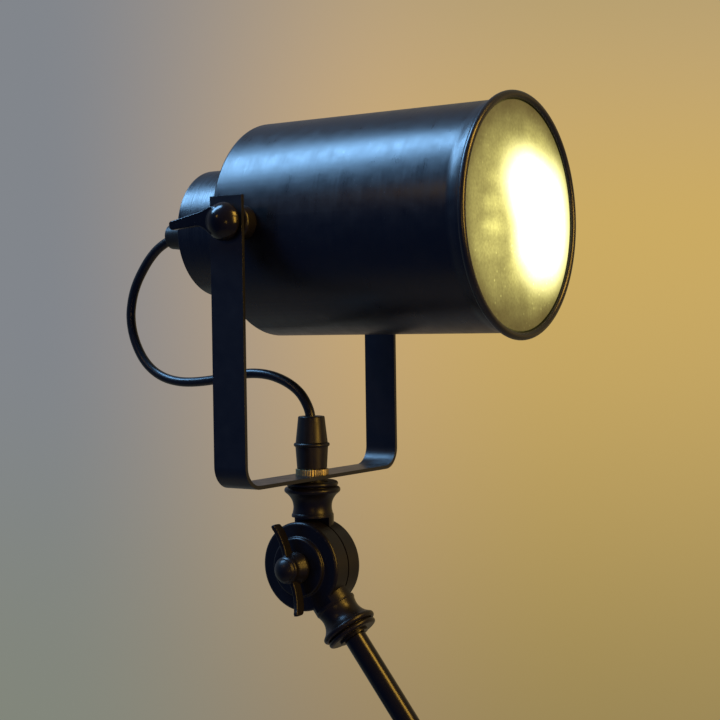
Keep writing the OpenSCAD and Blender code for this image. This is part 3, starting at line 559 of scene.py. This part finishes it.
class WALLLIGHT_OT_stage(PieceOperator, bpy.types.Operator):
    """Set the camera, the floor, the backdrop and the lights"""

    bl_idname = "walllight.stage"
    bl_label = "Stage"

    def execute(self, context):
        s = context.scene.wall_light_stage
        right = self.camera(context, s)
        self.backdrop(context, s, right)
        self.floor(context, s)
        # Name, place from the tilt pivot, size, colour and power
        lights = (
            ("daylight", (-0.25, 0.5, 0.71), (0.24, 0.62), s.key, s.key_power),
            ("lamp_light", (-0.1, -0.98, 0.15), (0.2, 0.5), s.fill, s.fill_power),
            ("ceiling_light", (0.03, -0.85, 0.67), (0.34, 0.34), s.fill, s.ceiling_power),
            ("room_light", (-0.84, -0.58, -0.1), (0.07, 0.07), s.fill, s.room_power),
            ("hall_light", (-0.98, 0.33, 0.45), (0.07, 0.07), s.fill, s.room_power),
        )
        for name, place, size, colour, power in lights:
            self.soft_light(context, name, PIVOT + Vector(place), size, colour, power)
        context.scene.view_settings.view_transform = "Standard"
        return {"FINISHED"}

    def camera(self, context, s):
        """Camera at the photograph's place; returns its direction to the right."""
        back = Vector((-math.cos(s.azimuth) * math.cos(s.elevation),
                       -math.sin(s.azimuth) * math.cos(s.elevation), math.sin(s.elevation)))
        level = (-back).cross(Vector((0, 0, 1))).normalized()
        upright = back.cross(level)
        right = level * math.cos(s.roll) + upright * math.sin(s.roll)
        up = upright * math.cos(s.roll) - level * math.sin(s.roll)
        data = bpy.data.cameras.new("camera")
        data.lens = s.lens
        data.sensor_width = 36
        camera = bpy.data.objects.new("camera", data)
        place = Matrix((right, up, back)).transposed().to_4x4()
        place.translation = PIVOT + Vector(s.offset)
        camera.matrix_world = place
        context.scene.collection.objects.link(camera)
        context.scene.camera = camera
        return right

    def backdrop(self, context, s, right):
        """Plain wall behind the lamp, cool on the left and warm on the right, with a dim room before it."""
        world = bpy.data.worlds.new("backdrop")
        world.use_nodes = True
        tree = world.node_tree
        tree.nodes.clear()
        ways = put(tree, "ShaderNodeTexCoord").outputs["Generated"]

        def along(way, low, high, first, last):
            """Value from first to last as the ray's part along the way goes from low to high."""
            part = put(tree, "ShaderNodeVectorMath", {0: ways, 1: way}, operation="DOT_PRODUCT")
            span = {"Value": part.outputs["Value"], "From Min": low, "From Max": high,
                    "To Min": first, "To Max": last}
            ramp = put(tree, "ShaderNodeMapRange", span, interpolation_type="SMOOTHSTEP")
            return ramp.outputs["Result"]

        upright = Vector((0, 0, 1))
        tones = {"Factor": along(upright, -0.36, 0.08, 0, 1),
                 COLOUR_A: rgba(s.dusk_wall), COLOUR_B: rgba(s.warm_wall)}
        pool = put(tree, "ShaderNodeMix", tones, data_type="RGBA").outputs[COLOUR_MIX]
        both = {0: along(right, -0.22, 0.04, 0, 1), 1: along(upright, 0.06, 0.4, 1, 0.3)}
        warmth = put(tree, "ShaderNodeMath", both, operation="MULTIPLY").outputs["Value"]
        tones = {"Factor": warmth, COLOUR_A: rgba(s.cool_wall), COLOUR_B: pool}
        light = put(tree, "ShaderNodeMix", tones, data_type="RGBA").outputs[COLOUR_MIX]
        # Daylight's blue reaches further to the right than the lamp's warmth does to the left
        warm_blue = along(upright, 0.05, 0.2, s.warm_wall[2], s.warm_wall[2] * 1.32)
        both = {0: along(right, -0.2, 0.16, s.cool_wall[2], warm_blue),
                1: along(upright, -0.28, 0.02, 0.75, 1)}
        blue = put(tree, "ShaderNodeMath", both, operation="MULTIPLY").outputs["Value"]
        parts = put(tree, "ShaderNodeSeparateColor", {"Color": light}).outputs
        parts = {"Red": parts["Red"], "Green": parts["Green"], "Blue": blue}
        wall = put(tree, "ShaderNodeCombineColor", parts).outputs["Color"]
        tones = {"Factor": along(upright.cross(right), -0.3, 0.5, 0, 0.8),
                 COLOUR_A: rgba(s.room), COLOUR_B: wall}
        dim = put(tree, "ShaderNodeMix", tones, data_type="RGBA").outputs[COLOUR_MIX]
        rays = put(tree, "ShaderNodeLightPath").outputs
        both = {0: rays["Is Camera Ray"], 1: rays["Is Transmission Ray"]}
        seen = put(tree, "ShaderNodeMath", both, operation="MAXIMUM").outputs["Value"]
        tones = {"Factor": seen, COLOUR_A: dim, COLOUR_B: wall}
        shown = put(tree, "ShaderNodeMix", tones, data_type="RGBA").outputs[COLOUR_MIX]
        glow = put(tree, "ShaderNodeBackground", {"Color": shown, "Strength": 1.0})
        put(tree, "ShaderNodeOutputWorld", {"Surface": glow.outputs["Background"]})
        context.scene.world = world

    def floor(self, context, s):
        """Wide, pale round floor below the lamp."""
        work = bmesh.new()
        bmesh.ops.create_circle(work, cap_ends=True, segments=96, radius=s.floor_radius)
        floor = made("floor", work)
        floor.location = (0, PIVOT.y, CAD_LOW.z - s.floor_drop)
        material, tree, place = blank("pale_plaster_floor")
        surface(tree, Base_Color=shaded(tree, place, 60, s.floor, 0.92), Roughness=0.85)
        floor.data.materials.append(material)

    def soft_light(self, context, name, place, size, colour, power):
        """Rectangular soft light that faces the tilt pivot."""
        data = bpy.data.lights.new(name, "AREA")
        data.shape = "RECTANGLE"
        data.size, data.size_y = size
        data.color = colour
        data.energy = power
        light = bpy.data.objects.new(name, data)
        light.location = place
        light.visible_camera = False
        light.rotation_euler = (PIVOT - place).to_track_quat("-Z", "Y").to_euler()
        context.scene.collection.objects.link(light)


class WALLLIGHT_OT_wall_base(PieceOperator, bpy.types.Operator):
    """Finish the wall bracket, its terminal block, the canopy and their fixings"""

    bl_idname = "walllight.wall_base"
    bl_label = "Wall base"

    def execute(self, context):
        dress((
            ("wall_bracket", "bright_zinc_plate", 0.25),
            ("terminal_block", "white_moulded_nylon", 0.3),
            ("canopy", "satin_coat_on_sheet", 0.3),
            ("canopy_cap_nuts", "satin_coat_on_casting", 0.25),
            ("canopy_studs", "bright_zinc_plate", None),
            ("base_nipple", "bright_zinc_plate", None),
            ("base_lock_nut", "bright_zinc_plate", 0.3),
        ))
        return {"FINISHED"}


class WALLLIGHT_OT_swivels(PieceOperator, bpy.types.Operator):
    """Finish the three disc swivels with their turned necks, washers and bolts"""

    bl_idname = "walllight.swivels"
    bl_label = "Disc swivels"

    def execute(self, context):
        halves = ("base_joint_fixed", "base_joint_moving", "elbow_joint_lower", "elbow_joint_upper",
                  "head_joint_lower", "head_joint_upper")
        dress([(node, "satin_coat_on_casting", 0.35) for node in halves])
        for place in ("base", "elbow", "head"):
            dress((
                (place + "_bolt", "satin_coat_on_casting", 0.25),
                (place + "_washer", "vulcanised_fibre", None),
            ))
        return {"FINISHED"}


class WALLLIGHT_OT_wing_nuts(PieceOperator, bpy.types.Operator):
    """Make the three cast wing nuts"""

    bl_idname = "walllight.wing_nuts"
    bl_label = "Wing nuts"

    def execute(self, context):
        grid = context.scene.wall_light_finish.casting_grid
        for place in ("base", "elbow", "head"):
            cast(place + "_wing_nut", finish("satin_coat_on_casting"), grid)
        return {"FINISHED"}


class WALLLIGHT_OT_arm_tubes(PieceOperator, bpy.types.Operator):
    """Finish the two arm tubes"""

    bl_idname = "walllight.arm_tubes"
    bl_label = "Arm tubes"

    def execute(self, context):
        dress([(node, "gloss_enamel_on_tube", 0.25) for node in ("lower_tube", "upper_tube")])
        return {"FINISHED"}


class WALLLIGHT_OT_yoke(PieceOperator, bpy.types.Operator):
    """Finish the strap yoke and the threaded pipe that it turns on"""

    bl_idname = "walllight.yoke"
    bl_label = "Yoke"

    def execute(self, context):
        dress((("yoke", "satin_coat_on_sheet", 0.6), ("head_nipple", "bright_zinc_plate", None)))
        return {"FINISHED"}


class WALLLIGHT_OT_cord_grips(PieceOperator, bpy.types.Operator):
    """Finish the two cord grips and their knurled ring nuts"""

    bl_idname = "walllight.cord_grips"
    bl_label = "Cord grips"

    def execute(self, context):
        for place in ("yoke", "shade"):
            dress((
                (place + "_grip_base", "black_moulded_nylon", 0.25),
                (place + "_grip_cap", "black_moulded_nylon", 0.3),
                (place + "_ring_nut", "yellow_zinc_plate", 0.05),
            ))
        paint("shade_nipple", finish("bright_zinc_plate"))
        return {"FINISHED"}


class WALLLIGHT_OT_head_cord(PieceOperator, bpy.types.Operator):
    """Make the cord that loops from the yoke's grip to the grip on the rear cap"""

    bl_idname = "walllight.head_cord"
    bl_label = "Head cord"

    def execute(self, context):
        s = context.scene.wall_light_cord
        line = self.route()
        cord = self.thread(line)
        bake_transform(cord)
        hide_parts("head_cord")
        self.sheathe(cord, s, finish("extruded_pvc_sheath"))
        return {"FINISHED"}

    def placed(self, points):
        """Points of the lamp's middle plane in the row frame."""
        return [PIVOT + Vector((0, -forward, up)) * MM for forward, up in points]

    def route(self):
        """Smooth line through the route's points, in the row frame."""
        points = self.placed(CORD_ROUTE)
        padded = [points[0] * 2 - points[1], *points, points[-1] * 2 - points[-2]]
        steps = 5
        line = []
        for a, b, c, d in zip(padded, padded[1:], padded[2:], padded[3:]):
            for i in range(steps):
                t = i / steps
                line.append(0.5 * (2 * b + (c - a) * t + (2 * a - 5 * b + 4 * c - d) * t ** 2
                                   + (3 * b - a - 3 * c + d) * t ** 3))
        return [*line, points[-1]]

    def thread(self, line):
        """Line of the cord as a mesh of edges."""
        work = bmesh.new()
        points = [work.verts.new(point) for point in line]
        for pair in zip(points, points[1:]):
            work.edges.new(pair)
        return made("head_cord_sheath", work)

    def sheathe(self, cord, s, material):
        """Round sheath of even thickness about the cord's line."""
        tree = bpy.data.node_groups.new("cord_sheath", "GeometryNodeTree")
        for way in ("INPUT", "OUTPUT"):
            tree.interface.new_socket("Geometry", in_out=way, socket_type="NodeSocketGeometry")
        line = put(tree, "NodeGroupInput").outputs["Geometry"]
        curve = put(tree, "GeometryNodeMeshToCurve", {"Mesh": line}).outputs["Curve"]
        even = put(tree, "GeometryNodeResampleCurve", {"Curve": curve, "Count": s.points})
        soft = put(tree, "GeometryNodeCurveSplineType", {"Curve": even.outputs["Curve"]},
                   spline_type="CATMULL_ROM").outputs["Curve"]
        fine = put(tree, "GeometryNodeSetSplineResolution", {0: soft, "Resolution": 3}).outputs[0]
        ring = put(tree, "GeometryNodeCurvePrimitiveCircle",
                   {"Resolution": s.sides, "Radius": s.diameter / 2}).outputs["Curve"]
        parts = {"Curve": fine, "Profile Curve": ring, "Fill Caps": True}
        tube = put(tree, "GeometryNodeCurveToMesh", parts).outputs["Mesh"]
        round_tube = put(tree, "GeometryNodeSetShadeSmooth", {0: tube}).outputs[0]
        skin = put(tree, "GeometryNodeSetMaterial", {"Geometry": round_tube, "Material": material})
        put(tree, "NodeGroupOutput", {"Geometry": skin.outputs["Geometry"]})
        cord.data.materials.append(material)
        cord.modifiers.new("sheath", "NODES").node_group = tree


class WALLLIGHT_OT_shade(PieceOperator, bpy.types.Operator):
    """Finish the spun shade with its rolled rim"""

    bl_idname = "walllight.shade"
    bl_label = "Shade"

    def execute(self, context):
        dress((("shade_shell", "satin_coat_on_spun_shade", 0.2),))
        return {"FINISHED"}


class WALLLIGHT_OT_rear_cap(PieceOperator, bpy.types.Operator):
    """Finish the turned rear cap, its screws and the nut behind it"""

    bl_idname = "walllight.rear_cap"
    bl_label = "Rear cap"

    def execute(self, context):
        dress((
            ("rear_cap", "satin_coat_on_turned_cap", 0.3),
            ("cap_screws", "satin_coat_on_casting", 0.15),
            ("holder_nut", "bright_zinc_plate", None),
        ))
        return {"FINISHED"}


class WALLLIGHT_OT_front_glass(PieceOperator, bpy.types.Operator):
    """Finish the lit front glass and its seal"""

    bl_idname = "walllight.front_glass"
    bl_label = "Front glass"

    def execute(self, context):
        dress((("glass", "acid_etched_glass", 0.15), ("glass_seal", "silicone_seal", None)))
        return {"FINISHED"}


class WALLLIGHT_OT_lamp_holder(PieceOperator, bpy.types.Operator):
    """Finish the lamp holder and the bulb inside the shade"""

    bl_idname = "walllight.lamp_holder"
    bl_label = "Lamp holder and bulb"

    def execute(self, context):
        dress((
            ("lamp_holder", "glazed_porcelain", None),
            ("holder_shell", "plain_drawn_brass", None),
            ("bulb_cap", "bright_zinc_plate", None),
            ("bulb_glass", "opal_bulb_glass", None),
        ))
        return {"FINISHED"}


class WALLLIGHT_OT_tilt_pivots(PieceOperator, bpy.types.Operator):
    """Finish the spacers, studs, nuts and washers of the tilt pivots"""

    bl_idname = "walllight.tilt_pivots"
    bl_label = "Tilt pivots"

    def execute(self, context):
        dress((
            ("pivot_spacers", "satin_coat_on_casting", 0.4),
            ("lever_washers", "satin_coat_on_casting", 0.2),
            ("pivot_studs", "bright_zinc_plate", None),
            ("pivot_nuts", "bright_zinc_plate", None),
        ))
        return {"FINISHED"}


class WALLLIGHT_OT_clamp_levers(PieceOperator, bpy.types.Operator):
    """Make the two cast clamp levers"""

    bl_idname = "walllight.clamp_levers"
    bl_label = "Clamp levers"

    def execute(self, context):
        grid = context.scene.wall_light_finish.casting_grid
        for side in ("left", "right"):
            cast(side + "_lever", finish("gloss_coat_on_casting"), grid)
        return {"FINISHED"}


GROUPS = {
    "wall_light_finish": FinishSettings,
    "wall_light_cord": CordSettings,
    "wall_light_stage": StageSettings,
}

OPERATORS = (
    WALLLIGHT_OT_stage, WALLLIGHT_OT_head_cord, WALLLIGHT_OT_wall_base, WALLLIGHT_OT_swivels,
    WALLLIGHT_OT_wing_nuts, WALLLIGHT_OT_arm_tubes, WALLLIGHT_OT_yoke, WALLLIGHT_OT_cord_grips,
    WALLLIGHT_OT_shade, WALLLIGHT_OT_rear_cap, WALLLIGHT_OT_front_glass, WALLLIGHT_OT_lamp_holder,
    WALLLIGHT_OT_tilt_pivots, WALLLIGHT_OT_clamp_levers,
)


class WALLLIGHT_PT_panel(bpy.types.Panel):
    """Settings and steps of the wall light"""

    bl_idname = "WALLLIGHT_PT_panel"
    bl_label = "Wall Light"
    bl_space_type = "VIEW_3D"
    bl_region_type = "UI"
    bl_category = "Wall Light"

    def draw(self, context):
        for name, group in GROUPS.items():
            box = self.layout.box()
            for setting in group.__annotations__:
                box.prop(getattr(context.scene, name), setting)
        for operator in OPERATORS:
            self.layout.operator(operator.bl_idname)


def register():
    for name, group in GROUPS.items():
        bpy.utils.register_class(group)
        setattr(bpy.types.Scene, name, bpy.props.PointerProperty(type=group))
    for cls in (*OPERATORS, WALLLIGHT_PT_panel):
        bpy.utils.register_class(cls)


def unregister():
    for cls in (WALLLIGHT_PT_panel, *reversed(OPERATORS)):
        bpy.utils.unregister_class(cls)
    for name, group in GROUPS.items():
        delattr(bpy.types.Scene, name)
        bpy.utils.unregister_class(group)


def main():
    """Dresses the lamp step by step."""
    for lamp in [o for o in bpy.data.objects if o.type in {"LIGHT", "CAMERA"}]:
        bpy.data.objects.remove(lamp)
    register()
    for operator in OPERATORS:
        group, name = operator.bl_idname.split(".")
        getattr(getattr(bpy.ops, group), name)()


if __name__ == "__main__":
    main()
